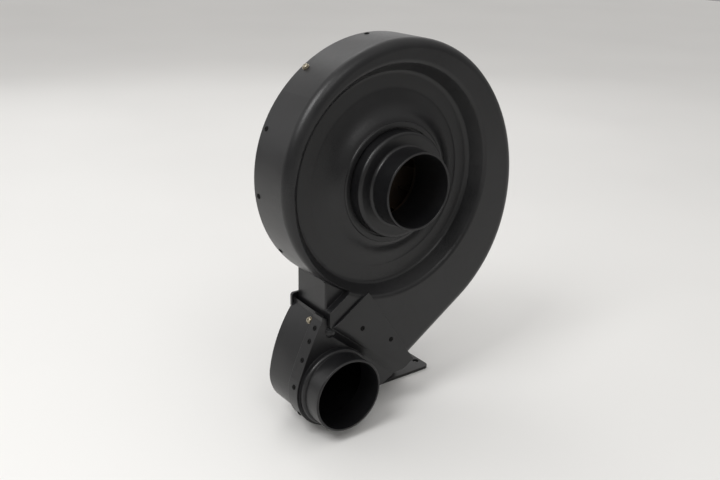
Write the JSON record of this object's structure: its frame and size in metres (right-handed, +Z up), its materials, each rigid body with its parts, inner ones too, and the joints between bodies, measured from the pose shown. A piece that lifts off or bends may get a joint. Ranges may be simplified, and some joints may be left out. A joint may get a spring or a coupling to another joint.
{
  "type": "exhaust hood fan",
  "caption": "Motor-driven centrifugal exhaust blower: moulded scroll with a front inlet spigot, a turned-down outlet elbow and a flat steel stand behind it.",
  "frame": {"origin": "on the floor straight below the shaft, in the plane of the scroll's back", "axes": "+X to the right seen from the front, +Y back along the shaft towards the motor, +Z up; the inlet and the outlet face -Y"},
  "size_m": [0.3589, 0.2627, 0.4835],
  "materials": {
    "black_shell": "satin moulded plastic",
    "black_collar": "satin moulded plastic",
    "black_paint": "satin powder coat",
    "grey_paint": "satin enamel",
    "zinc": "zinc plated",
    "dark_rivet": "blackened steel",
    "steel": "turned",
    "cast_alloy": "die cast",
    "wheel_steel": "satin paint",
    "core_steel": "laminated",
    "copper": "enamelled copper wire",
    "rubber": "matt",
    "black_plastic": "matt moulded"
  },
  "bodies": {
    "frame": {"scroll_front_shell": "black_shell", "scroll_rear_shell": "black_shell", "cutoff_tongue": "black_shell", "inlet_spigot": "black_collar", "elbow_front_shell": "black_shell", "elbow_rear_shell": "black_shell", "casing_rivets": "dark_rivet", "casing_screws": "zinc", "casing_screw_washers": "zinc", "elbow_rivets": "dark_rivet", "plate_rivets": "dark_rivet", "elbow_screw": "zinc", "elbow_screw_washer": "zinc", "motor_stand": "black_paint", "mounting_gasket": "rubber", "motor_flange": "cast_alloy", "flange_bolts": "zinc", "flange_washers": "zinc", "flange_nuts": "zinc", "motor_housing": "grey_paint", "stator_core": "core_steel", "stator_windings": "copper", "motor_rear_endshield": "cast_alloy", "shaft_seal": "rubber", "front_bearing": "steel", "rear_bearing": "steel", "endshield_screws": "zinc", "fan_cowl": "grey_paint", "cowl_screws": "zinc", "terminal_box": "black_plastic", "terminal_box_lid": "black_plastic", "lid_screws": "zinc", "terminal_block": "black_plastic", "cable_gland": "black_plastic"},
    "rotor": {"motor_shaft": "steel", "rotor_core": "core_steel", "shaft_key": "steel", "impeller_hub": "cast_alloy", "hub_rivets": "steel", "impeller_backplate": "wheel_steel", "impeller_blades": "wheel_steel", "impeller_shroud": "wheel_steel", "impeller_washer": "zinc", "impeller_screw": "zinc", "cooling_fan": "black_plastic"}
  },
  "joints": [
    {"name": "rotor_spin", "type": "hinge", "parent": "frame", "child": "rotor", "pos_m": [0, 0, 0.312], "axis": [0, -1, 0], "continuous": true}
  ]
}
